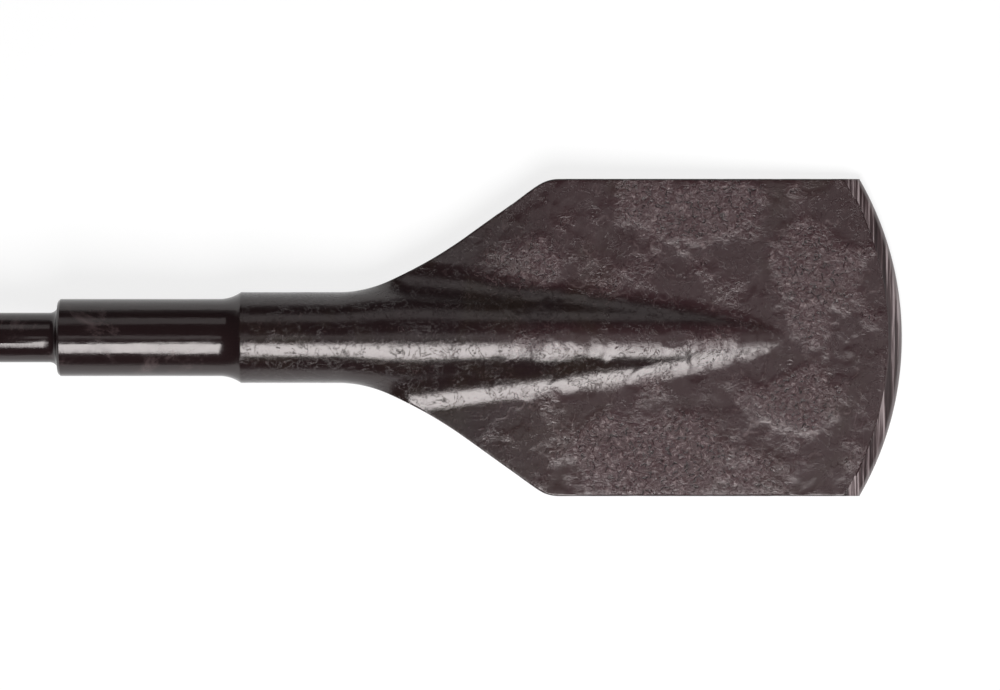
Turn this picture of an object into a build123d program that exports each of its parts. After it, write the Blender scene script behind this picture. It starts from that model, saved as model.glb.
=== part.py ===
from build123d import *
from math import acos, asin, atan, cos, degrees, radians, sin, sqrt, tan
import os

# Spade chisel for a heavy breaking hammer, forged in one piece from a round bar.
# Lengths are in millimetres. The tool is first built along +X, from the free end of
# its shank at x = 0 to the tip of its blade, with the blade flat in the XY plane.
# It is then laid down as it comes to rest, nose down on a floor at z = 0.

overall_length = 400.0

# Shank that goes into the hammer: 18 mm round with three open keyways from its end
# and two closed locking grooves opposite each other.
shank_d = 18.0
shank_length = 91.0
shank_end_chamfer = 1.5
keyway_width = 4.0
keyway_depth = 2.4
keyway_length = 54.0
keyway_angles = (90.0, 235.0, 305.0)
keyway_runout_radius = 30.0
lock_groove_start = 26.0
lock_groove_end = 64.0
lock_groove_depth = 2.6
lock_groove_radius = 3.2
lock_groove_angles = (0.0, 180.0)
shank_seam_angle = 232.5

# Round bar behind the collar
bar_d = 28.0
bar_root_radius = 3.0
bar_shoulder_round = 1.0

# Collar that the die has left thicker than the bar
collar_d = 33.1
collar_back_from_tip = 239.6
collar_step_radius = 13.4
collar_rim_round = 1.0

# Blade outline, measured in plan
blade_width = 115.0
blade_side_length = 109.0
tip_radius = 115.0
shoulder_radius = 14.0
flank_angle = 35.6
flare_radius = 160.0
flare_root_angle = 24.0
flare_root_radius = 45.0

# Blade thickness, on the flat beside the rib
neck_thickness = 6.8
tip_thickness = 4.8

# Ground cutting edge
edge_bevel_width = 5.0
edge_thickness = 1.2
side_edge_round = 0.6

# Rib along each face of the blade
rib_end_from_tip = 42.0
rib_bend_length = 24.0
neck_length = 26.0
rib_crest_radius_neck = 21.0
rib_foot_radius_neck = 22.0
rib_crest_radius = 19.0
rib_foot_radius = 20.5
rib_taper_length = 32.0
rib_sink = 0.03
neck_crest_half_angle = 60.0
neck_side_angle = 86.0

shank_r = shank_d / 2
bar_r = bar_d / 2
collar_r = collar_d / 2
half_width = blade_width / 2
tip_centre_x = overall_length - tip_radius
corner_x = tip_centre_x + sqrt(tip_radius**2 - half_width**2)
blade_side_x = corner_x - blade_side_length
rib_end_x = overall_length - rib_end_from_tip
bevel_start_x = overall_length - edge_bevel_width
shank_root_r = min(bar_root_radius, (bar_r - shank_r - bar_shoulder_round) * 0.8)


# Plan outline of the flare: a root bend off the collar, a long sweep, a straight
# flank and the shoulder, each tangent to the next. Points are (x, half width).
def flare_points():
    root = radians(flare_root_angle)
    flank = radians(flank_angle)
    shoulder_start = (blade_side_x - shoulder_radius * sin(flank),
                      half_width - shoulder_radius * (1 - cos(flank)))
    root_end_y = collar_r + flare_root_radius * (1 - cos(root))
    sweep_end_y = root_end_y + flare_radius * (cos(root) - cos(flank))
    sweep_end_x = shoulder_start[0] - (shoulder_start[1] - sweep_end_y) / tan(flank)
    root_end_x = sweep_end_x - flare_radius * (sin(flank) - sin(root))
    root_start_x = root_end_x - flare_root_radius * sin(root)
    return {
        "root_start": (root_start_x, collar_r),
        "root_end": (root_end_x, root_end_y),
        "sweep_end": (sweep_end_x, sweep_end_y),
        "shoulder_start": shoulder_start,
        "shoulder_end": (blade_side_x, half_width),
    }


flare = flare_points()
flare_start_x = flare["root_start"][0]
neck_end_x = flare_start_x + neck_length


# Half width of the tool in plan, from the collar forward
def outline_half_width(x):
    root_x, root_y = flare["root_start"]
    root_end_x, root_end_y = flare["root_end"]
    sweep_end_x, sweep_end_y = flare["sweep_end"]
    if x <= root_x:
        return root_y
    if x <= root_end_x:
        return root_y + flare_root_radius - sqrt(flare_root_radius**2 - (x - root_x)**2)
    if x <= sweep_end_x:
        root = radians(flare_root_angle)
        turned = asin(sin(root) + (x - root_end_x) / flare_radius)
        return root_end_y + flare_radius * (cos(root) - cos(turned))
    if x <= flare["shoulder_start"][0]:
        return sweep_end_y + (x - sweep_end_x) * tan(radians(flank_angle))
    if x <= blade_side_x:
        return half_width - shoulder_radius + sqrt(shoulder_radius**2 - (blade_side_x - x)**2)
    return half_width


# Half thickness of the flat blade
def blade_half_thickness(x):
    share = (x - flare_start_x) / (overall_length - flare_start_x)
    return (neck_thickness + share * (tip_thickness - neck_thickness)) / 2


# Height of the rib's crest above the mid plane: level at the collar, bent over the
# bend length, then falling in a straight line into the flat of the blade
def crest_height(x):
    fall = collar_r - blade_half_thickness(rib_end_x)
    slope = fall / (rib_end_x - flare_start_x - rib_bend_length / 2)
    past = x - flare_start_x
    if past <= 0:
        return collar_r
    if past <= rib_bend_length:
        return collar_r - slope * past**2 / (2 * rib_bend_length)
    return collar_r - slope * (past - rib_bend_length / 2)


def blend(start, end, share):
    return start + (end - start) * min(max(share, 0.0), 1.0)


def rib_radii(x):
    share = (x - neck_end_x) / rib_taper_length
    crest = blend(rib_crest_radius_neck, rib_crest_radius, share)
    foot = blend(rib_foot_radius_neck, rib_foot_radius, share)
    return crest, foot


# Cross section at x with the same profile on all four quarters: a crest arc, a flank
# arc tangent to it and a straight side. The points are those of the first quarter.
def quarter_section(x, crest_end, slope_angle, side_top):
    top = crest_height(x)
    downhill = (cos(slope_angle), -sin(slope_angle))

    def place(point, across, up):
        return (point[0] * across, point[1] * up)

    edges = []
    for up in (1, -1):
        left, right = place(crest_end, -1, up), place(crest_end, 1, up)
        edges.append(ThreePointArc(left, (0, top * up), right))
        for across in (1, -1):
            start = place(crest_end, across, up)
            end = place(side_top, across, up)
            edges.append(TangentArc(start, end, tangent=place(downhill, across, up)))
    for across in (1, -1):
        edges.append(Line(place(side_top, across, 1), place(side_top, across, -1)))
    wire = Wire(edges)
    plane = Plane(origin=(x, 0, 0), x_dir=(0, 1, 0), z_dir=(1, 0, 0))
    return plane * Face(wire)


def rib_shape(x, base):
    crest_r, foot_r = rib_radii(x)
    drop = crest_height(x) - base
    slope_angle = acos(1 - drop / (crest_r + foot_r))
    crest_end = (crest_r * sin(slope_angle), crest_height(x) - crest_r * (1 - cos(slope_angle)))
    foot_end = ((crest_r + foot_r) * sin(slope_angle), base)
    return crest_end, slope_angle, foot_end, foot_r


# Rib on both faces, with its feet run out to the flat of the blade
def rib_section(x):
    crest_end, slope_angle, foot_end, foot_r = rib_shape(x, blade_half_thickness(x) - rib_sink)
    return quarter_section(x, crest_end, slope_angle, foot_end)


# Neck: the round of the collar widens and flattens into the rib, whose feet are
# still cut short by the tool's sides
def neck_section(x):
    share = (x - flare_start_x) / (neck_end_x - flare_start_x)
    base = blade_half_thickness(neck_end_x) - rib_sink
    crest_end, slope_angle, foot_end, foot_r = rib_shape(neck_end_x, base)
    cut = foot_end[0] - outline_half_width(neck_end_x)
    side_end = base + foot_r - sqrt(foot_r**2 - cut**2)
    angle = blend(radians(neck_crest_half_angle), slope_angle, share)
    crest_r = blend(collar_r, rib_crest_radius_neck, share)
    side_angle = radians(neck_side_angle)
    side_top = (outline_half_width(x) - collar_r * (1 - sin(side_angle)) * (1 - share),
                blend(collar_r * cos(side_angle), side_end, share))
    top = crest_height(x)
    crest_point = (crest_r * sin(angle), top - crest_r * (1 - cos(angle)))
    return quarter_section(x, crest_point, angle, side_top)


def stations(start, end, count):
    return [start + (end - start) * step / (count - 1) for step in range(count)]


def make_neck():
    return loft([neck_section(x) for x in stations(flare_start_x, neck_end_x, 7)])


def make_ribs():
    near = stations(neck_end_x, neck_end_x + rib_taper_length, 4)
    far = stations(neck_end_x + rib_taper_length, rib_end_x + 0.2, 5)
    return loft([rib_section(x) for x in near + far[1:]])


# Flat of the blade, thinning towards its edge, before its outline is cut
def make_flat():
    back, front = neck_end_x, overall_length + 1
    thick_back, thick_front = blade_half_thickness(back), blade_half_thickness(front)
    profile = Polyline((back, -thick_back), (front, -thick_front), (front, thick_front),
                       (back, thick_back), close=True)
    return extrude(Plane.XZ * make_face(profile), amount=half_width + 1, both=True)


# Plan outline from the neck's end forward, as a tall prism
def make_outline():
    start = (neck_end_x, outline_half_width(neck_end_x))
    sweep_middle_x = (neck_end_x + flare["sweep_end"][0]) / 2
    sweep_middle = (sweep_middle_x, outline_half_width(sweep_middle_x))
    half_flank = radians(flank_angle / 2)
    shoulder_middle = (blade_side_x - shoulder_radius * sin(half_flank),
                       half_width - shoulder_radius * (1 - cos(half_flank)))

    def side(across):
        def place(point):
            return (point[0], point[1] * across)

        return [
            ThreePointArc(place(start), place(sweep_middle), place(flare["sweep_end"])),
            Line(place(flare["sweep_end"]), place(flare["shoulder_start"])),
            ThreePointArc(place(flare["shoulder_start"]), place(shoulder_middle),
                          place(flare["shoulder_end"])),
            Line(place(flare["shoulder_end"]), (corner_x, half_width * across)),
        ]

    tip = ThreePointArc((corner_x, half_width), (overall_length, 0), (corner_x, -half_width))
    back = Line(start, (start[0], -start[1]))
    outline = Wire(side(1) + side(-1) + [tip, back])
    return extrude(Face(outline), amount=collar_d, both=True)


# Ground bevels on both faces, along the arc of the tip
def make_bevel_cuts():
    slope = (blade_half_thickness(bevel_start_x) - edge_thickness / 2) / edge_bevel_width
    back_r = tip_radius - 2 * edge_bevel_width
    front_r = tip_radius + edge_bevel_width
    back_z = edge_thickness / 2 + slope * (tip_radius - back_r)
    front_z = edge_thickness / 2 + slope * (tip_radius - front_r)
    cuts = []
    for up in (1, -1):
        profile = Polyline((back_r, back_z * up), (front_r, front_z * up),
                           (front_r, back_z * up), close=True)
        cuts.append(revolve(Plane.XZ * make_face(profile), axis=Axis.Z))
    return [Pos(tip_centre_x, 0, 0) * cut for cut in cuts]


# Bar and collar as one turned profile, from the face behind the shank's root forward
def make_round_stock():
    collar_back_x = overall_length - collar_back_from_tip
    rise = collar_r - bar_r
    step_angle = acos(1 - rise / collar_step_radius)
    step_start = collar_back_x - collar_step_radius * sin(step_angle)
    half = step_angle / 2
    step_middle = (step_start + collar_step_radius * sin(half),
                   bar_r + collar_step_radius * (1 - cos(half)))
    shoulder_x = shank_length + shank_root_r
    with BuildSketch(Plane.XZ) as turned:
        with BuildLine():
            Line((shoulder_x, 0), (shoulder_x, bar_r - bar_shoulder_round))
            Line((shoulder_x, bar_r - bar_shoulder_round), (shoulder_x + bar_shoulder_round, bar_r))
            Line((shoulder_x + bar_shoulder_round, bar_r), (step_start, bar_r))
            ThreePointArc((step_start, bar_r), step_middle, (collar_back_x, collar_r))
            Line((collar_back_x, collar_r), (flare_start_x, collar_r))
            Line((flare_start_x, collar_r), (flare_start_x, 0))
            Line((flare_start_x, 0), (shoulder_x, 0))
        make_face()
    stock = revolve(turned.sketch, axis=Axis.X)
    rim = [e for e in stock.edges() if abs(e.center().X - collar_back_x) < 0.01]
    return fillet(rim, collar_rim_round)


# Shank as a turned profile with its root radius. Its seam lies clear of the slots.
def make_round_shank():
    shoulder_x = shank_length + shank_root_r
    root_half = shank_root_r * (1 - cos(radians(45)))
    with BuildSketch(Plane.XZ) as turned:
        with BuildLine():
            Line((0, 0), (0, shank_r - shank_end_chamfer))
            Line((0, shank_r - shank_end_chamfer), (shank_end_chamfer, shank_r))
            Line((shank_end_chamfer, shank_r), (shank_length, shank_r))
            ThreePointArc((shank_length, shank_r),
                          (shoulder_x - root_half, shank_r + root_half),
                          (shoulder_x, shank_r + shank_root_r))
            Line((shoulder_x, shank_r + shank_root_r), (shoulder_x, 0))
            Line((shoulder_x, 0), (0, 0))
        make_face()
    return Rot(shank_seam_angle - 90, 0, 0) * revolve(turned.sketch, axis=Axis.X)


# Open keyway from the shank's end, with a milled run-out
def make_keyway(angle):
    bottom = shank_r - keyway_depth
    reach = sqrt(keyway_runout_radius**2 - (keyway_runout_radius - keyway_depth - 1)**2)
    runout_middle = keyway_length + keyway_runout_radius * sin(asin(reach / keyway_runout_radius) / 2)
    rise = keyway_runout_radius * (1 - cos(asin(reach / keyway_runout_radius) / 2))
    with BuildSketch(Plane.XZ) as side:
        with BuildLine():
            Line((-1, shank_r + 1), (-1, bottom))
            Line((-1, bottom), (keyway_length, bottom))
            ThreePointArc((keyway_length, bottom), (runout_middle, bottom + rise),
                          (keyway_length + reach, shank_r + 1))
            Line((keyway_length + reach, shank_r + 1), (-1, shank_r + 1))
        make_face()
    cutter = extrude(side.sketch, amount=keyway_width / 2, both=True)
    return Rot(angle - 90, 0, 0) * cutter


# Closed locking groove with ball ends
def make_lock_groove(angle):
    offset = shank_r - lock_groove_depth + lock_groove_radius
    start = lock_groove_start + lock_groove_radius
    end = lock_groove_end - lock_groove_radius
    with BuildSketch(Plane.XZ) as side:
        with BuildLine():
            Line((lock_groove_start, 0), (lock_groove_end, 0))
            RadiusArc((lock_groove_start, 0), (start, lock_groove_radius), lock_groove_radius)
            Line((start, lock_groove_radius), (end, lock_groove_radius))
            RadiusArc((end, lock_groove_radius), (lock_groove_end, 0), lock_groove_radius)
        make_face()
    capsule = revolve(side.sketch, axis=Axis.X)
    return Rot(angle - 90, 0, 0) * (Pos(0, 0, offset) * capsule)


# An edge along the sides of the neck and the blade, on either face
def is_side_edge(edge):
    if abs(edge.tangent_at(0.5).X) < 0.1 or edge.center().X < flare_start_x:
        return False
    points = [edge.position_at(share) for share in (0, 0.5, 1)]
    return all(abs(abs(point.Y) - outline_half_width(point.X)) < 0.1 for point in points)


# Sides with their edges rounded. The edge fades out along the neck, and where the named
# size can't follow it to its end, the nearest size that can is used.
def round_side_edges(forging):
    edges = [edge for edge in forging.edges() if is_side_edge(edge)]
    for share in (1.0, 0.95, 1.05, 0.9, 1.1, 0.85, 0.8):
        try:
            rounded = fillet(edges, side_edge_round * share)
        except ValueError:
            continue
        if rounded.is_valid:
            return rounded
    return forging


# The forging: bar, collar, neck and ribbed blade, with the sides' edges rounded
def make_forging():
    blade = (make_ribs() + make_flat()) & make_outline()
    return round_side_edges(make_round_stock() + make_neck() + blade)


def make_shank():
    shank = make_round_shank()
    for angle in keyway_angles:
        shank -= make_keyway(angle)
    for angle in lock_groove_angles:
        shank -= make_lock_groove(angle)
    return shank


def make_tool():
    tool = make_forging() + make_shank()
    for cut in make_bevel_cuts():
        tool -= cut
    return tool


# Slope of the floor under the tool, which rests on its rib and on the back of the
# ground bevel at the middle of the tip
def rest_slope():
    low = blade_half_thickness(bevel_start_x)
    run = stations(flare_start_x, rib_end_x, 400)
    return max((crest_height(x) - low) / (bevel_start_x - x) for x in run)


def lay_down(tool):
    laid = Rot(0, degrees(atan(rest_slope())), 0) * tool
    box = laid.bounding_box()
    return Pos(-box.center().X, -box.center().Y, -box.min.Z) * laid


os.makedirs("parts", exist_ok=True)
export_step(lay_down(make_tool()), "parts/spade_chisel.step")
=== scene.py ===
import math
import bmesh
import bpy
import numpy as np
from mathutils import Matrix, Vector, noise


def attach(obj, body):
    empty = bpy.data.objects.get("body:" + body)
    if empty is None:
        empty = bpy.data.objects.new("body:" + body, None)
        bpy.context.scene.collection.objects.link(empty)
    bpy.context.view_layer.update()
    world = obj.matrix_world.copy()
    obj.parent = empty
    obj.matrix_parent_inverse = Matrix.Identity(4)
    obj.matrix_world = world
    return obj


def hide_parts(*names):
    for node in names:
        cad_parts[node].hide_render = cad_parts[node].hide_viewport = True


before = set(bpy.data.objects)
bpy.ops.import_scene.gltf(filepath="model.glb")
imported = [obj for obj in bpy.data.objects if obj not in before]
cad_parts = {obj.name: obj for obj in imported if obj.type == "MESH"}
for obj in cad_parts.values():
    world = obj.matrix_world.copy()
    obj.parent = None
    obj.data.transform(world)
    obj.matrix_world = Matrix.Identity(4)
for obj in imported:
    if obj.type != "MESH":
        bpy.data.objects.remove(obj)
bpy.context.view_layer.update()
bpy.context.scene.view_settings.view_transform = "Standard"
mm = 0.001
print("frame loaded")

# the tool lies nose down: pitched about Y, then moved so that the floor is at zero
lying = {
    "pitch": 0.07422914,
    "shift": (-199.1934011, 0.0, 31.7113554),
}

# sizes in mm along the straight tool, from the shank end at 0 to the tip at 400
forging = {
    "length": 400.0,
    "shankRadius": 9.0,
    "shankLength": 91.0,
    "shankRoot": 3.0,
    "shankChamfer": 1.5,
    "barRadius": 14.0,
    "barChamfer": 1.0,
    "collarRadius": 16.55,
    "collarBack": 160.4,
    "stepRadius": 13.4,
    "rimRound": 1.0,
    "bladeWidth": 115.0,
    "sideLength": 109.0,
    "tipRadius": 115.0,
    "shoulderRadius": 14.0,
    "flankAngle": 35.6,
    "flareRadius": 160.0,
    "flareRootAngle": 24.0,
    "flareRootRadius": 45.0,
    "neckThickness": 6.8,
    "tipThickness": 4.8,
    "bevelWidth": 5.0,
    "edgeThickness": 1.2,
    "sideRound": 0.6,
    "ribEndFromTip": 42.0,
    "ribBend": 24.0,
    "neckLength": 26.0,
    "crestRadiusNeck": 21.0,
    "footRadiusNeck": 22.0,
    "crestRadius": 19.0,
    "footRadius": 20.5,
    "ribTaper": 32.0,
    "ribSink": 0.03,
    "neckCrestAngle": 60.0,
    "neckSideAngle": 86.0,
    "columns": 64,       # round a quarter of the tool
    "ribColumns": 26,
    "edgeColumns": 8,
    "rowStep": 0.79,
}

# slots milled into the shank
slots = {
    "keyAngles": (90.0, 235.0, 305.0),
    "keyWidth": 4.0,
    "keyDepth": 2.4,
    "keyLength": 54.0,
    "runoutRadius": 30.0,
    "lockAngles": (0.0, 180.0),
    "lockStart": 26.0,
    "lockEnd": 64.0,
    "lockDepth": 2.6,
    "lockRadius": 3.2,
}

half = forging["bladeWidth"] / 2
tipCentre = forging["length"] - forging["tipRadius"]
cornerX = tipCentre + math.sqrt(forging["tipRadius"] ** 2 - half ** 2)
sideX = cornerX - forging["sideLength"]
ribEndX = forging["length"] - forging["ribEndFromTip"]
bevelX = forging["length"] - forging["bevelWidth"]
flank = math.radians(forging["flankAngle"])
rootAngle = math.radians(forging["flareRootAngle"])


# ends of the arcs of the flare, from the blade's side back to the collar
def flareEnds():
    f = forging
    shoulder = (sideX - f["shoulderRadius"] * math.sin(flank), half - f["shoulderRadius"] * (1 - math.cos(flank)))
    bendY = f["collarRadius"] + f["flareRootRadius"] * (1 - math.cos(rootAngle))
    sweepY = bendY + f["flareRadius"] * (math.cos(rootAngle) - math.cos(flank))
    sweepX = shoulder[0] - (shoulder[1] - sweepY) / math.tan(flank)
    bendX = sweepX - f["flareRadius"] * (math.sin(flank) - math.sin(rootAngle))
    startX = bendX - f["flareRootRadius"] * math.sin(rootAngle)
    return startX, (bendX, bendY), (sweepX, sweepY), shoulder


flareX, bendEnd, sweepEnd, shoulderStart = flareEnds()
neckX = flareX + forging["neckLength"]


def halfWidth(x):
    f = forging
    if x <= flareX:
        return f["collarRadius"]
    if x <= bendEnd[0]:
        return f["collarRadius"] + f["flareRootRadius"] - math.sqrt(f["flareRootRadius"] ** 2 - (x - flareX) ** 2)
    if x <= sweepEnd[0]:
        turned = math.asin(math.sin(rootAngle) + (x - bendEnd[0]) / f["flareRadius"])
        return bendEnd[1] + f["flareRadius"] * (math.cos(rootAngle) - math.cos(turned))
    if x <= shoulderStart[0]:
        return sweepEnd[1] + (x - sweepEnd[0]) * math.tan(flank)
    if x <= sideX:
        return half - f["shoulderRadius"] + math.sqrt(f["shoulderRadius"] ** 2 - (sideX - x) ** 2)
    return half


def flatHalf(x):
    share = (x - flareX) / (forging["length"] - flareX)
    return (forging["neckThickness"] + share * (forging["tipThickness"] - forging["neckThickness"])) / 2


# the rib's crest: level at the collar, bent over, then falling in a straight line
def crestHeight(x):
    top, bend = forging["collarRadius"], forging["ribBend"]
    slope = (top - flatHalf(ribEndX)) / (ribEndX - flareX - bend / 2)
    past = np.maximum(x - flareX, 0)
    return np.where(past < bend, top - slope * past ** 2 / (2 * bend), top - slope * (past - bend / 2))


def ribArcs(x):
    share = np.clip((x - neckX) / forging["ribTaper"], 0, 1)
    crest = forging["crestRadiusNeck"] + share * (forging["crestRadius"] - forging["crestRadiusNeck"])
    foot = forging["footRadiusNeck"] + share * (forging["footRadius"] - forging["footRadiusNeck"])
    drop = np.maximum(crestHeight(x) - flatHalf(x) + forging["ribSink"], 0)
    angle = np.arccos(1 - drop / (crest + foot))
    return crest, foot, angle


# height of the blade's face above the middle plane
def faceHeight(x, y):
    crest, foot, angle = ribArcs(x)
    y = np.abs(y)
    footY = (crest + foot) * np.sin(angle)
    onCrest = crestHeight(x) - crest + np.sqrt(np.maximum(crest ** 2 - y ** 2, 0))
    onFoot = flatHalf(x) - forging["ribSink"] + foot - np.sqrt(np.maximum(foot ** 2 - (footY - y) ** 2, 0))
    rib = np.where(y < crest * np.sin(angle), onCrest, np.where(y < footY, onFoot, 0))
    slope = (flatHalf(bevelX) - forging["edgeThickness"] / 2) / forging["bevelWidth"]
    fromEdge = forging["tipRadius"] - np.hypot(x - tipCentre, y)
    bevel = np.where(x > tipCentre, forging["edgeThickness"] / 2 + slope * fromEdge, 99)
    return np.minimum(np.maximum(rib, flatHalf(x)), np.maximum(bevel, forging["edgeThickness"] / 2))


# quarter of a neck section: crest arc, a flank arc tangent to it, a straight side
def neckQuarter(x):
    f = forging
    share = (x - flareX) / f["neckLength"]
    endCrest, endFoot, endAngle = [float(v) for v in ribArcs(neckX)]
    base = flatHalf(neckX) - f["ribSink"]
    cut = (endCrest + endFoot) * math.sin(endAngle) - halfWidth(neckX)
    sideEnd = base + endFoot - math.sqrt(endFoot ** 2 - cut ** 2)
    startAngle = math.radians(f["neckCrestAngle"])
    angle = startAngle + share * (endAngle - startAngle)
    radius = f["collarRadius"] + share * (endCrest - f["collarRadius"])
    sideAngle = math.radians(f["neckSideAngle"])
    side = np.array((halfWidth(x) - f["collarRadius"] * (1 - math.sin(sideAngle)) * (1 - share),
                     f["collarRadius"] * math.cos(sideAngle) * (1 - share) + sideEnd * share))
    top = float(crestHeight(x))
    turn = np.linspace(0, angle, 60)
    crest = np.column_stack((radius * np.sin(turn), top - radius * (1 - np.cos(turn))))
    chord = side - crest[-1]
    heading = np.array((math.cos(angle), -math.sin(angle)))
    bend = math.atan2(heading[0] * chord[1] - heading[1] * chord[0], heading @ chord)
    along = np.linspace(0, 1, 60)[1:]
    reach = np.linalg.norm(chord) * np.sin(bend * along) / math.sin(bend) if abs(bend) > 1e-6 else along
    facing = -angle + bend * along
    arc = crest[-1] + np.column_stack((reach * np.cos(facing), reach * np.sin(facing)))
    down = np.linspace(1, 0, 20)[1:]
    straight = np.column_stack((np.full(19, side[0]) + (halfWidth(x) - side[0]) * (1 - down) ** 0.5, side[1] * down))
    return np.vstack((crest, arc, straight))


# places round a blade section, as half width and height, before the row is bent to the tip's arc
def bladeColumns(x):
    f = forging
    width = halfWidth(x)
    crest, foot, angle = [float(v) for v in ribArcs(min(x, ribEndX))]
    ribY = min(max((crest + foot) * math.sin(angle), 16.0), width * 0.82)
    run = f["columns"] - f["ribColumns"] - f["edgeColumns"]
    lean = min(x, sideX)
    edge = f["sideRound"] * math.hypot(1, (halfWidth(lean) - halfWidth(lean - 0.1)) / 0.1)
    ys = np.concatenate((np.linspace(0, ribY, f["ribColumns"] + 1), np.linspace(ribY, width - edge, run + 1)[1:]))
    return ys, width, edge


def bladeRow(x):
    f = forging
    ys, width, edge = bladeColumns(x)
    bent = np.clip((x - sideX) / (bevelX - sideX), 0, 1)
    flatX = x + bent * (np.sqrt(f["tipRadius"] ** 2 - ys ** 2) - f["tipRadius"])
    zs = faceHeight(flatX, ys)
    # the side's edge round, then straight down to the middle plane
    sideXs = x + bent * (math.sqrt(f["tipRadius"] ** 2 - width ** 2) - f["tipRadius"])
    top = float(faceHeight(np.float64(sideXs), np.float64(width)))
    rounded = min(f["sideRound"], top * 0.6)
    turn = np.linspace(0, math.pi / 2, 6)[1:]
    edgeY = width - edge * (1 - np.sin(turn))
    edgeZ = top - rounded * (1 - np.cos(turn))
    down = (top - rounded) * np.array((0.67, 0.33, 0.0))
    sideY = np.concatenate((ys, edgeY, np.full(3, width)))
    sideZ = np.concatenate((zs, edgeZ, down))
    rowX = np.concatenate((flatX, x + bent * (np.sqrt(f["tipRadius"] ** 2 - edgeY ** 2) - f["tipRadius"]),
                           np.full(3, sideXs)))
    return rowX, sideY, sideZ


# share of the way round a quarter for each column, even on the bar and as the blade has it at the neck
def columnShares():
    x, ys, zs = bladeRow(neckX)
    steps = np.concatenate(((0,), np.hypot(np.diff(ys), np.diff(zs))))
    return np.cumsum(steps) / np.sum(steps)


def neckRow(x, shares):
    outline = neckQuarter(x)
    reach = np.concatenate(((0,), np.cumsum(np.hypot(*np.diff(outline, axis=0).T))))
    blend = (x - flareX) / forging["neckLength"]
    even = np.linspace(0, 1, forging["columns"] + 1)
    places = (even + (shares - even) * blend) * reach[-1]
    return np.full(len(places), x), np.interp(places, reach, outline[:, 0]), np.interp(places, reach, outline[:, 1])


def roundRow(x, radius):
    turn = np.linspace(0, math.pi / 2, forging["columns"] + 1)
    return np.full(len(turn), x), radius * np.sin(turn), radius * np.cos(turn)


# rings of the turned stretch, as (place along, radius)
def turnedRings():
    f = forging
    rings = [(f["shankLength"] - 2, f["shankRadius"])]
    for turn in np.linspace(0, math.pi / 2, 7):
        rings.append((f["shankLength"] + f["shankRoot"] * math.sin(turn), f["shankRadius"] + f["shankRoot"] * (1 - math.cos(turn))))
    shoulder = f["shankLength"] + f["shankRoot"]
    rings += [(shoulder, f["barRadius"] - f["barChamfer"]), (shoulder + f["barChamfer"] * 0.3, f["barRadius"] - f["barChamfer"] * 0.55)]
    rings += [(shoulder + f["barChamfer"], f["barRadius"])]
    rise = f["collarRadius"] - f["barRadius"]
    stepAngle = math.acos(1 - rise / f["stepRadius"])
    stepX = f["collarBack"] - f["stepRadius"] * math.sin(stepAngle)
    rings += [(x, f["barRadius"]) for x in np.linspace(shoulder + 1, stepX, 20)[1:]]
    rimCut = f["rimRound"] * math.tan(stepAngle / 2)
    lastTurn = stepAngle - rimCut / f["stepRadius"]
    for turn in np.linspace(0, lastTurn, 9)[1:]:
        rings.append((stepX + f["stepRadius"] * math.sin(turn), f["barRadius"] + f["stepRadius"] * (1 - math.cos(turn))))
    for turn in (0.35, 0.65, 1.0):
        left = stepAngle * (1 - turn)
        rings.append((f["collarBack"] + rimCut - f["rimRound"] * math.sin(left), f["collarRadius"] - f["rimRound"] * (1 - math.cos(left))))
    rings += [(x, f["collarRadius"]) for x in np.linspace(f["collarBack"] + rimCut, flareX, 34)[1:]]
    return rings


def allRows():
    f = forging
    shares = columnShares()
    rows = [roundRow(x, radius) for x, radius in turnedRings()]
    rows += [neckRow(x, shares) for x in np.linspace(flareX, neckX, int(f["neckLength"] / f["rowStep"]))[1:]]
    rows += [bladeRow(x) for x in np.linspace(neckX, bevelX, int((bevelX - neckX) / f["rowStep"]))[1:]]
    rows += [bladeRow(x) for x in np.linspace(bevelX, f["length"], 8)[1:]]
    tipX, tipY, tipZ = rows[-1]
    rows.append((tipX, tipY, tipZ * 0.6))
    rows.append((tipX, tipY, tipZ * 0.0))
    return rows


def deselect():
    if bpy.context.mode != "OBJECT":
        bpy.ops.object.mode_set(mode="OBJECT")
    bpy.ops.object.select_all(action="DESELECT")


def makeActive(piece):
    deselect()
    piece.select_set(True)
    bpy.context.view_layer.objects.active = piece


def pickFaces(piece, test):
    bpy.ops.mesh.select_mode(type="FACE")
    bpy.ops.mesh.select_all(action="DESELECT")
    mesh = bmesh.from_edit_mesh(piece.data)
    for face in mesh.faces:
        face.select = bool(test(face.calc_center_median() / mm, face.normal))
    bmesh.update_edit_mesh(piece.data)


# the forging: a grid rolled up round the tool, its seam and its tip merged
def makeForging():
    rows = allRows()
    round4 = forging["columns"] * 4
    deselect()
    bpy.ops.mesh.primitive_grid_add(x_subdivisions=len(rows) - 1, y_subdivisions=round4, size=1)
    piece = bpy.context.object
    piece.name = "spadeChisel"
    flat = np.zeros(len(piece.data.vertices) * 3)
    piece.data.vertices.foreach_get("co", flat)
    flat = flat.reshape(-1, 3)
    rowOf = np.rint((flat[:, 0] + 0.5) * (len(rows) - 1)).astype(int)
    columnOf = np.rint((flat[:, 1] + 0.5) * round4).astype(int) % round4
    rowXs, rowYs, rowZs = [np.array([row[axis] for row in rows]) for axis in range(3)]
    quarter = columnOf // forging["columns"]
    step = columnOf % forging["columns"]
    column = np.where(quarter % 2 == 0, step, forging["columns"] - step)
    across = np.where(quarter < 2, 1, -1)
    up = np.where((quarter == 0) | (quarter == 3), 1, -1)
    placed = np.column_stack((rowXs[rowOf, column], rowYs[rowOf, column] * across, rowZs[rowOf, column] * up))
    piece.data.vertices.foreach_set("co", (placed * mm).ravel())
    makeActive(piece)
    bpy.ops.object.mode_set(mode="EDIT")
    bpy.ops.mesh.select_all(action="SELECT")
    bpy.ops.mesh.remove_doubles(threshold=0.00001)
    bpy.ops.object.mode_set(mode="OBJECT")
    return piece


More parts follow.
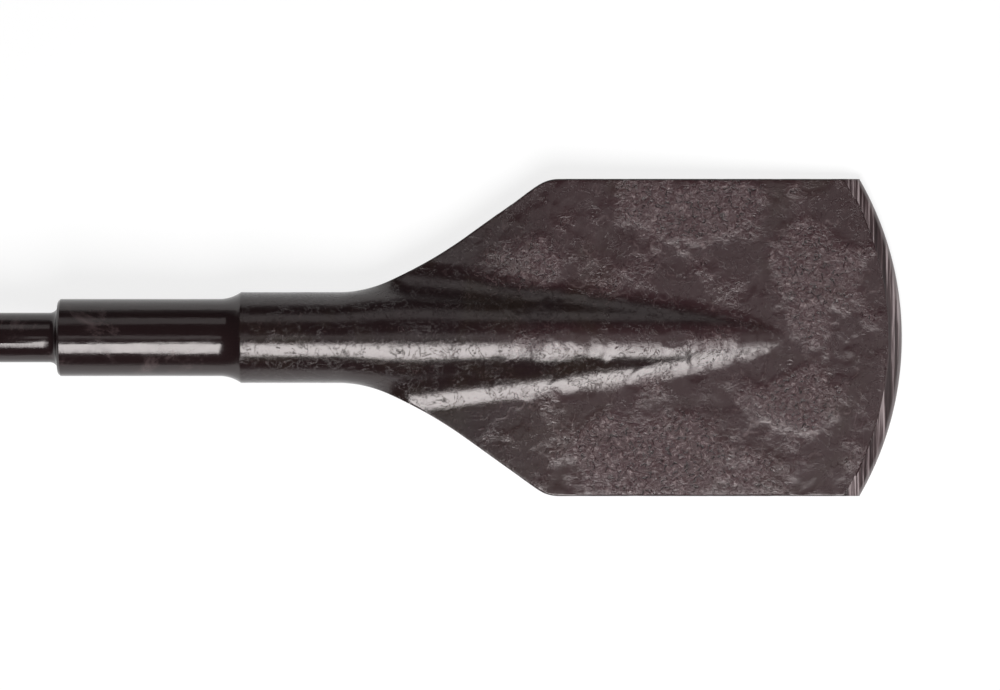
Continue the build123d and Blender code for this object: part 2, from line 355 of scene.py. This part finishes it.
def cutAway(piece, cutter):
    makeActive(piece)
    cut = piece.modifiers.new("cut", "BOOLEAN")
    cut.object = cutter
    cut.operation = "DIFFERENCE"
    cut.solver = "MANIFOLD"
    bpy.ops.object.modifier_apply(modifier=cut.name)
    bpy.data.objects.remove(cutter)


def cutKeyway(piece, angle):
    bottom = forging["shankRadius"] - slots["keyDepth"]
    turned = math.radians(angle - 90)
    out = Vector((0, math.cos(math.radians(angle)), math.sin(math.radians(angle))))
    deselect()
    place = Vector(((slots["keyLength"] - 1) / 2, 0, 0)) + out * (bottom + 3)
    bpy.ops.mesh.primitive_cube_add(size=1, location=place * mm, rotation=(turned, 0, 0),
                                    scale=((slots["keyLength"] + 1) * mm, slots["keyWidth"] * mm, 6 * mm))
    cutAway(piece, bpy.context.object)
    deselect()
    place = Vector((slots["keyLength"], 0, 0)) + out * (bottom + slots["runoutRadius"])
    bpy.ops.mesh.primitive_cylinder_add(vertices=360, radius=slots["runoutRadius"] * mm, depth=slots["keyWidth"] * mm,
                                        location=place * mm, rotation=(turned + math.pi / 2, 0, 0))
    cutAway(piece, bpy.context.object)


def cutLockGroove(piece, angle):
    out = Vector((0, math.cos(math.radians(angle)), math.sin(math.radians(angle))))
    radius = slots["lockRadius"]
    place = out * (forging["shankRadius"] - slots["lockDepth"] + radius)
    deselect()
    bpy.ops.mesh.primitive_uv_sphere_add(segments=48, ring_count=24, radius=radius * mm, rotation=(0, math.pi / 2, 0))
    capsule = bpy.context.object
    bpy.ops.object.transform_apply(location=True, rotation=True, scale=True)
    bpy.ops.object.mode_set(mode="EDIT")
    for end, x in ((-1, slots["lockStart"] + radius), (1, slots["lockEnd"] - radius)):
        bpy.ops.mesh.select_mode(type="VERT")
        bpy.ops.mesh.select_all(action="DESELECT")
        mesh = bmesh.from_edit_mesh(capsule.data)
        for vertex in mesh.verts:      # the middle ring stays with the first end
            vertex.select = (vertex.co.x < 0.00002 if end < 0 else 0.00002 < vertex.co.x < 0.01)
        bmesh.update_edit_mesh(capsule.data)
        bpy.ops.transform.translate(value=(x * mm, place.y * mm, place.z * mm))
    bpy.ops.object.mode_set(mode="OBJECT")
    cutAway(piece, capsule)


# round stock for the shank, chamfered at its end, with its slots cut
def makeShank():
    f = forging
    back, front = f["shankChamfer"], f["shankLength"] - 2
    deselect()
    bpy.ops.mesh.primitive_cylinder_add(vertices=f["columns"] * 4, radius=f["shankRadius"] * mm, depth=(front - back) * mm,
                                        location=((front + back) / 2 * mm, 0, 0), rotation=(0, math.pi / 2, 0))
    shank = bpy.context.object
    bpy.ops.object.transform_apply(location=True, rotation=True, scale=True)
    bpy.ops.object.mode_set(mode="EDIT")
    pickFaces(shank, lambda at, facing: facing.x < -0.9)
    bpy.ops.mesh.inset(thickness=f["shankChamfer"] * mm)
    bpy.ops.transform.translate(value=(-f["shankChamfer"] * mm, 0, 0))
    bpy.ops.object.mode_set(mode="OBJECT")
    for angle in slots["keyAngles"]:
        cutKeyway(shank, angle)
    for angle in slots["lockAngles"]:
        cutLockGroove(shank, angle)
    makeActive(shank)
    bpy.ops.object.mode_set(mode="EDIT")
    pickFaces(shank, lambda at, facing: facing.x > 0.9 and at.x > front - 0.1)
    bpy.ops.mesh.delete(type="ONLY_FACE")
    bpy.ops.object.mode_set(mode="OBJECT")
    return shank


def joinAndClose(piece, other):
    makeActive(piece)
    other.select_set(True)
    bpy.ops.object.join()
    bpy.ops.object.mode_set(mode="EDIT")
    bpy.ops.mesh.select_all(action="SELECT")
    bpy.ops.mesh.remove_doubles(threshold=0.00001)
    bpy.ops.mesh.dissolve_degenerate(threshold=0.000001)
    bpy.ops.mesh.normals_make_consistent(inside=False)
    bpy.ops.object.mode_set(mode="OBJECT")


# uneven skin of a die forging, in mm
skin = {
    "swell": 0.10,        # broad waves
    "swellSize": 17.0,
    "ripple": 0.05,
    "rippleSize": 5.5,
    "flake": 0.13,        # steps where scale came off
    "flakeSize": 11.0,
    "pit": 0.16,
    "pitSize": 7.0,
    "seed": (31.7, 4.2, 9.6),
}

# places on the blade in mm (along, across), with their half sizes, where the skin is roughest
roughPlaces = ((322, 47, 34, 17), (318, -42, 52, 19), (262, 26, 18, 14), (366, 22, 20, 24), (360, -22, 22, 14))


def smooth(value, low, high):
    share = min(max((value - low) / (high - low), 0), 1)
    return share * share * (3 - 2 * share)


def roughness(at):
    near = 0
    for x, y, longHalf, wideHalf in roughPlaces:
        near = max(near, 1 - math.hypot((at.x - x) / longHalf, (at.y - y) / wideHalf))
    wander = noise.noise(at / 15 + Vector((3, 8, 1))) + 0.45 * noise.noise(at / 5 + Vector((1, 2, 7)))
    most = 0.35 + 0.65 * smooth(at.x, 228, 262)
    return most * smooth(near + 0.5 * wander, -0.05, 0.6)


def skinDepth(at, rough):
    seed = Vector(skin["seed"])
    side = Vector((0, 0, 40 if at.z > 0 else -40))
    forged = smooth(at.x, 158, 164)
    depth = skin["swell"] * (0.5 + 0.5 * noise.noise(at / skin["swellSize"] + seed))
    depth += skin["ripple"] * (0.5 + 0.5 * noise.noise(at / skin["rippleSize"] + seed))
    depth *= 1 - 0.6 * smooth(abs(at.z), 4, 8) * smooth(at.x, 190, 230)      # the rib came cleaner out of the die
    blade = smooth(at.x, 235, 262)
    wander = Vector((noise.noise(at / 4 + seed), noise.noise(at / 4 - seed), 0)) * 0.16
    level = noise.noise(at / skin["flakeSize"] + side + wander) * 0.7 + noise.noise(at / 3.6 + side + seed) * 0.25
    flake = smooth(level, 0.10, 0.14) + smooth(level, 0.30, 0.33) * 0.7
    near = noise.voronoi(at / skin["pitSize"] + side, distance_metric="DISTANCE", exponent=2.5)[0][0]
    pit = 1 - smooth(near, 0.05, 0.2)
    depth += blade * (skin["flake"] * flake + skin["pit"] * pit * (0.3 + rough))
    return depth * forged, flake * blade


def forgeSkin(piece):
    mesh = piece.data
    places = [vertex.co.copy() for vertex in mesh.vertices]
    normals = [vertex.normal.copy() for vertex in mesh.vertices]
    rough = np.zeros(len(places))
    flakes = np.zeros(len(places))
    levelFacing = np.zeros(len(places))
    wear = np.zeros(len(places))
    overrun = np.zeros(len(places))
    for index, (place, normal) in enumerate(zip(places, normals)):
        at = place / mm
        if at.x < 158:
            continue
        rough[index] = roughness(at)
        # share of level surface: in the colour it is painted light, with the tilted flanks left darker as painted
        # shade; it also sets roughness and grain
        levelFacing[index] = smooth(abs(normal.z), 0.93, 0.996) * smooth(at.x, 228, 285)
        depth, flakes[index] = skinDepth(at, rough[index])
        fromEdge = forging["tipRadius"] - math.hypot(at.x - tipCentre, at.y) if at.x > tipCentre else 99
        ground = smooth(fromEdge, forging["bevelWidth"] - 0.5, forging["bevelWidth"] + 2)
        keep = max(abs(normal.y), 1 - smooth(fromEdge, 0.5, 1.5)) if at.x > 262 else 0
        wear[index] = 1 - smooth(fromEdge, 0.2, 1.3)
        overrun[index] = 1 - smooth(fromEdge + 3 * noise.noise(at / 3), forging["bevelWidth"], forging["bevelWidth"] + 6)
        places[index] = place - normal * (depth * ground * (1 - 0.75 * smooth(keep, 0.6, 1)) * mm)
    mesh.vertices.foreach_set("co", np.array(places).ravel())
    mesh.update()
    for name, values in (("roughPatch", rough), ("flakePatch", flakes), ("levelFaceShare", levelFacing), ("edgeWear", wear),
                         ("grindOverrun", overrun)):
        layer = mesh.attributes.new(name, "FLOAT", "POINT")
        layer.data.foreach_set("value", values.astype(np.float32))


def layDown(piece):
    turn = Matrix.Rotation(lying["pitch"], 4, "Y")
    move = Matrix.Translation(Vector(lying["shift"]) * mm)
    piece.data.transform(move @ turn)
    piece.data.update()


spade = makeForging()
print("forging rolled:", len(spade.data.polygons), "faces")
joinAndClose(spade, makeShank())
print("shank joined")
forgeSkin(spade)
print("forge skin pressed in")


def startMaterial(name, colour, roughness):
    material = bpy.data.materials.new(name)
    material.use_nodes = True
    shader = material.node_tree.nodes["Principled BSDF"]
    shader.inputs["Base Color"].default_value = (*colour, 1)
    shader.inputs["Roughness"].default_value = roughness
    return material, material.node_tree, shader


def addNode(tree, kind, spot, **values):
    node = tree.nodes.new("ShaderNode" + kind)
    node.location = (spot[0] * 200, spot[1] * 200)
    for name, value in values.items():
        if hasattr(node, name):
            setattr(node, name, value)
        else:
            node.inputs[name.replace("_", " ")].default_value = value
    return node


def link(tree, source, target):
    tree.links.new(source, target)


def addMath(tree, spot, operation, first, second):
    node = addNode(tree, "Math", spot, operation=operation)
    for socket, value in zip(node.inputs, (first, second)):
        if isinstance(value, (int, float)):
            socket.default_value = value
        else:
            link(tree, value, socket)
    return node.outputs[0]


def addRamp(tree, spot, source, stops):
    node = addNode(tree, "ValToRGB", spot)
    ramp = node.color_ramp
    while len(ramp.elements) < len(stops):
        ramp.elements.new(0.5)
    for element, (place, colour) in zip(ramp.elements, stops):
        element.position = place
        element.color = (*colour, 1) if isinstance(colour, tuple) else (colour, colour, colour, 1)
    link(tree, source, node.inputs[0])
    return node.outputs[0]


def addMix(tree, spot, share, first, second):
    node = addNode(tree, "Mix", spot, data_type="RGBA")
    for socket, value in ((node.inputs[0], share), (node.inputs[6], first), (node.inputs[7], second)):
        if isinstance(value, tuple):
            socket.default_value = (*value, 1)
        elif isinstance(value, (int, float)):
            socket.default_value = value
        else:
            link(tree, value, socket)
    return node.outputs[2]


def addNoise(tree, spot, place, scale, detail=2.0, rough=0.5, distortion=0.0):
    node = addNode(tree, "TexNoise", spot, Scale=scale, Detail=detail, Roughness=rough, Distortion=distortion)
    link(tree, place, node.inputs["Vector"])
    return node.outputs["Fac"]


# stretch the pattern space, so that noise makes streaks
def stretched(tree, spot, place, scale):
    node = addNode(tree, "Mapping", spot, Scale=scale)
    link(tree, place, node.inputs["Vector"])
    return node.outputs["Vector"]


def addBump(tree, spot, height, distance, after=None):
    node = addNode(tree, "Bump", spot, Strength=1.0, Distance=distance)
    link(tree, height, node.inputs["Height"])
    if after:
        link(tree, after, node.inputs["Normal"])
    return node.outputs["Normal"]


ground = {
    "colour": (0.060, 0.038, 0.040),
    "dark": (0.014, 0.007, 0.008),
    "bright": (0.34, 0.28, 0.285),
    "worn": (0.22, 0.20, 0.20),
    "roughness": 0.32,
    "strokes": (1100, 26, 60),      # fine along the tool, long across it
}


lacquer = {
    "colour": (0.012, 0.0058, 0.0064),   # brown black with a little purple
    "scale": (0.041, 0.0160, 0.0190),    # lighter tone for level faces: partly dust on the rough patches, partly painted light, with the tilted flanks left dark as painted shade
    "olive": (0.026, 0.018, 0.010),
    "warm": (0.17, 0.120, 0.122),        # light specks on the grain tops and the rims of flakes
    "pitted": (0.010, 0.0050, 0.0055),
    "gloss": (1.0, 0.94, 0.93),
    "ior": 1.55,
    "barRoughness": 0.16,
    "forgedRoughness": 0.30,
    "grainSize": 1050.0,
    "grainDepth": 0.00016,
}


def setGloss(shader):
    shader.inputs["IOR"].default_value = lacquer["ior"]
    shader.inputs["Specular Tint"].default_value = (*lacquer["gloss"], 1)


def makeForgedLacquer():
    material, tree, shader = startMaterial("forgedLacquer", lacquer["colour"], lacquer["forgedRoughness"])
    setGloss(shader)
    place = addNode(tree, "TexCoord", (-9, 0)).outputs["Object"]
    rough = addNode(tree, "Attribute", (-7, 3), attribute_name="roughPatch").outputs["Fac"]
    grain = addNoise(tree, (-7, -1), place, lacquer["grainSize"], 2.0, 0.55, 0.8)
    grit = addNoise(tree, (-7, -2), place, 500.0, 4.0, 0.7, 0.9)
    coast = addNoise(tree, (-7, -3), place, 120.0, 6.0, 0.68, 0.5)
    steps = addRamp(tree, (-5, -3), coast, ((0.50, 0.0), (0.52, 0.6), (0.62, 0.6), (0.635, 1.0)))
    # the rib and the neck came smoother out of the die than the flat
    levelFacing = addNode(tree, "Attribute", (-8, 4), attribute_name="levelFaceShare").outputs["Fac"]
    level = addMath(tree, (-7, 4), "MULTIPLY_ADD", levelFacing, 0.9)
    level.node.inputs[2].default_value = 0.3
    share = addMath(tree, (-5, 3), "ADD", addMath(tree, (-6, 3), "MULTIPLY", rough, level), 0.10)
    fine = addMath(tree, (-4, -1), "MULTIPLY", grain, share)
    coarse = addMath(tree, (-4, -2), "MULTIPLY", grit, share)
    low = addBump(tree, (-3, -3), steps, 0.00009)
    middle = addBump(tree, (-2, -2), coarse, 0.00045, low)
    normal = addBump(tree, (-1, -1), fine, lacquer["grainDepth"], middle)
    link(tree, normal, shader.inputs["Normal"])
    tint = addNoise(tree, (-7, 5), place, 38.0, 4.0, 0.6, 0.5)
    tintShare = addRamp(tree, (-5, 5), tint, ((0.48, 0.0), (0.68, 0.8)))
    # the lighter tone goes only on level faces, more on the rough patches: partly dust, partly painted light, leaving
    # the tilted flanks darker as painted shade
    dustAndLight = addMath(tree, (-6, 4), "MULTIPLY_ADD", rough, 0.6)
    dustAndLight.node.inputs[2].default_value = 0.52
    dustAndLightShare = addMath(tree, (-5, 4), "MULTIPLY", levelFacing, dustAndLight)
    colour = addMix(tree, (-4, 5), dustAndLightShare, lacquer["colour"], lacquer["scale"])
    colour = addMix(tree, (-3, 5), addMath(tree, (-4, 4), "MULTIPLY", tintShare, 0.4), colour, lacquer["olive"])
    # the pits between the grains are darker, their tops and the rims of flakes lighter
    hollow = addRamp(tree, (-5, 7), grit, ((0.36, 0.75), (0.48, 0.0)))
    colour = addMix(tree, (-2, 6), addMath(tree, (-4, 7), "MULTIPLY", hollow, share), colour, lacquer["pitted"])
    speckShare = addRamp(tree, (-5, 6), grit, ((0.57, 0.0), (0.68, 0.8)))
    speckle = addMath(tree, (-4, 6), "MULTIPLY", speckShare, share)
    flake = addNode(tree, "Attribute", (-7, 8), attribute_name="flakePatch").outputs["Fac"]
    rim = addRamp(tree, (-5, 8), flake, ((0.10, 0.0), (0.45, 1.0), (0.60, 1.0), (0.95, 0.0)))
    broken = addRamp(tree, (-5, 9), coast, ((0.50, 0.0), (0.66, 0.42)))
    rims = addMath(tree, (-4, 8), "MULTIPLY", rim, broken)
    light = addMath(tree, (-3, 7), "MAXIMUM", speckle, addMath(tree, (-3, 8), "MULTIPLY", rims, levelFacing))
    colour = addMix(tree, (-1, 6), light, colour, lacquer["warm"])
    # grinding strokes run on a little past the bevel
    overrun = addNode(tree, "Attribute", (-7, 10), attribute_name="grindOverrun").outputs["Fac"]
    strokes = addNoise(tree, (-6, 11), stretched(tree, (-7, 11), place, ground["strokes"]), 1.0, 3.0, 0.6)
    scratch = addRamp(tree, (-5, 11), strokes, ((0.54, 0.0), (0.66, 1.0)))
    colour = addMix(tree, (0, 6), addMath(tree, (-3, 10), "MULTIPLY", scratch, overrun), colour, ground["colour"])
    link(tree, colour, shader.inputs["Base Color"])
    worn = addMath(tree, (-4, 2), "MULTIPLY_ADD", levelFacing, 0.06)
    link(tree, addMath(tree, (-5, 1), "MULTIPLY", grit, 0.14), worn.node.inputs[2])
    dull = addMath(tree, (-3, 2), "ADD", worn, 0.10)
    link(tree, dull, shader.inputs["Roughness"])
    return material


def makeBarLacquer():
    material, tree, shader = startMaterial("barLacquer", lacquer["colour"], lacquer["barRoughness"])
    setGloss(shader)
    place = addNode(tree, "TexCoord", (-9, 0)).outputs["Object"]
    drawn = addNoise(tree, (-6, -1), stretched(tree, (-7, -1), place, (18, 420, 420)), 1.0, 3.0, 0.6)
    orange = addNoise(tree, (-6, -2), place, 240.0, 3.0, 0.6)
    low = addBump(tree, (-3, -2), orange, 0.00005)
    normal = addBump(tree, (-2, -1), drawn, 0.00005, low)
    link(tree, normal, shader.inputs["Normal"])
    stain = addNoise(tree, (-6, 3), place, 60.0, 4.0, 0.65, 0.6)
    stainShare = addRamp(tree, (-5, 3), stain, ((0.55, 0.0), (0.72, 0.35)))
    link(tree, addMix(tree, (-3, 3), stainShare, lacquer["colour"], lacquer["warm"]), shader.inputs["Base Color"])
    link(tree, addRamp(tree, (-4, 1), stain, ((0.4, 0.13), (0.7, 0.24))), shader.inputs["Roughness"])
    return material


def makeGroundEdge():
    material, tree, shader = startMaterial("groundEdge", ground["colour"], ground["roughness"])
    setGloss(shader)
    place = addNode(tree, "TexCoord", (-9, 0)).outputs["Object"]
    strokes = addNoise(tree, (-6, -1), stretched(tree, (-7, -1), place, ground["strokes"]), 1.0, 3.0, 0.6)
    link(tree, addBump(tree, (-2, -1), strokes, 0.00022), shader.inputs["Normal"])
    streaks = addRamp(tree, (-4, 3), strokes, ((0.38, ground["dark"]), (0.52, ground["colour"]), (0.64, ground["bright"])))
    wear = addNode(tree, "Attribute", (-6, 4), attribute_name="edgeWear").outputs["Fac"]
    link(tree, addMix(tree, (-2, 3), wear, streaks, ground["worn"]), shader.inputs["Base Color"])
    return material


def setMaterials(piece):
    piece.data.materials.clear()
    for material in (makeForgedLacquer(), makeBarLacquer(), makeGroundEdge()):
        piece.data.materials.append(material)
    bevelFront = forging["tipRadius"] - forging["bevelWidth"] + 0.2
    for face in piece.data.polygons:
        at = face.center / mm
        if at.x < forging["collarBack"] - 0.2:
            face.material_index = 1
        elif at.x > 370 and math.hypot(at.x - tipCentre, at.y) > bevelFront and abs(face.normal.y) < 0.8:
            face.material_index = 2
        else:
            face.material_index = 0


setMaterials(spade)
layDown(spade)
makeActive(spade)
bpy.ops.object.shade_smooth_by_angle(angle=math.radians(32))
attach(spade, "root")
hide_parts("spade_chisel")
print("materials set")


# camera square onto the blade, from far off with a long lens
shot = {
    "aim": (254.27, -2.72, 3.0),       # mm along the straight tool
    "distance": 2.4,
    "frameWidth": 0.3623,
}
viewTurn = Matrix.Rotation(lying["pitch"], 4, "Y")
aim = viewTurn @ (Vector(shot["aim"]) * mm) + Vector(lying["shift"]) * mm


# a place in the camera's own directions: right, up and towards it, in metres from the aim
def fromAim(right, up, near):
    return aim + viewTurn @ Vector((right, up, near))


def addCamera():
    camera = bpy.data.objects.new("camera", bpy.data.cameras.new("camera"))
    bpy.context.scene.collection.objects.link(camera)
    camera.location = fromAim(0, 0, shot["distance"])
    camera.rotation_euler = (0, lying["pitch"], 0)
    camera.data.sensor_width = 36
    camera.data.lens = 36 * shot["distance"] / shot["frameWidth"]
    camera.data.clip_start, camera.data.clip_end = 0.1, 50
    bpy.context.scene.camera = camera


# soft boxes: angle off the view axis towards the top and the right of the picture, in degrees
lights = {
    "softBox": {"up": -31, "right": 2, "away": 1.15, "wide": 0.66, "high": 0.60, "level": 12.5},
    "overhead": {"up": 0, "right": -6, "away": 2.8, "wide": 0.4, "high": 0.8, "level": 0.9},
    "overheadRight": {"up": 2, "right": 12, "away": 2.8, "wide": 0.45, "high": 0.9, "level": 1.0},
    "tipLight": {"up": 0, "right": 44, "away": 1.8, "wide": 0.35, "high": 1.4, "level": 1.8},
    "farBoard": {"up": 50, "right": 0, "away": 1.6, "wide": 1.6, "high": 0.56, "level": 0.7},
}


def addLights():
    for name, box in lights.items():
        up, right = math.radians(box["up"]), math.radians(box["right"])
        towards = Vector((math.sin(right) * math.cos(up), math.sin(up), math.cos(right) * math.cos(up)))
        lamp = bpy.data.lights.new(name, "AREA")
        lamp.shape = "RECTANGLE"
        lamp.size, lamp.size_y = box["wide"], box["high"]
        lamp.energy = box["level"] * box["wide"] * box["high"] * math.pi ** 2 / math.pi
        holder = bpy.data.objects.new(name, lamp)
        bpy.context.scene.collection.objects.link(holder)
        holder.location = fromAim(*(towards * box["away"]))
        holder.rotation_euler = (aim - holder.location).to_track_quat("-Z", "Y").to_euler()


# pale floor: white where the camera or a reflection meets it, with the tool's shadow kept
def addFloor():
    deselect()
    bpy.ops.mesh.primitive_circle_add(vertices=96, radius=12, fill_type="NGON", location=(0, 0, 0))
    floor = bpy.context.object
    floor.name = "floor"
    material, tree, shader = startMaterial("palePaper", (0.8, 0.8, 0.8), 0.9)
    shader.inputs["Specular IOR Level"].default_value = 0
    seen = addNode(tree, "BsdfDiffuse", (-3, 3), Color=(0.20, 0.20, 0.20, 1))
    glow = addNode(tree, "Emission", (-3, 2), Color=(0.82, 0.82, 0.82, 1), Strength=1.0)
    both = addNode(tree, "AddShader", (-2, 3))
    link(tree, seen.outputs[0], both.inputs[0])
    link(tree, glow.outputs[0], both.inputs[1])
    rays = addNode(tree, "LightPath", (-5, 1)).outputs
    direct = addMath(tree, (-4, 1), "MAXIMUM", rays["Is Camera Ray"], rays["Is Glossy Ray"])
    direct = addMath(tree, (-3, 1), "MAXIMUM", direct, rays["Is Transmission Ray"])
    choice = addNode(tree, "MixShader", (1, 1))
    link(tree, direct, choice.inputs[0])
    link(tree, shader.outputs[0], choice.inputs[1])
    link(tree, both.outputs[0], choice.inputs[2])
    link(tree, choice.outputs[0], tree.nodes["Material Output"].inputs["Surface"])
    floor.data.materials.append(material)


# a dim room that is pale near the horizon
def addWorld():
    world = bpy.data.worlds.new("room")
    world.use_nodes = True
    tree = world.node_tree
    place = addNode(tree, "TexCoord", (-6, 0)).outputs["Generated"]
    parts = addNode(tree, "SeparateXYZ", (-5, 0))
    link(tree, place, parts.inputs[0])
    level = addRamp(tree, (-3, 0), parts.outputs["Z"], ((0.02, 0.30), (0.22, 0.05)))
    link(tree, level, tree.nodes["Background"].inputs["Color"])
    bpy.context.scene.world = world


addCamera()
addLights()
addFloor()
addWorld()
print("camera, lights and floor placed")
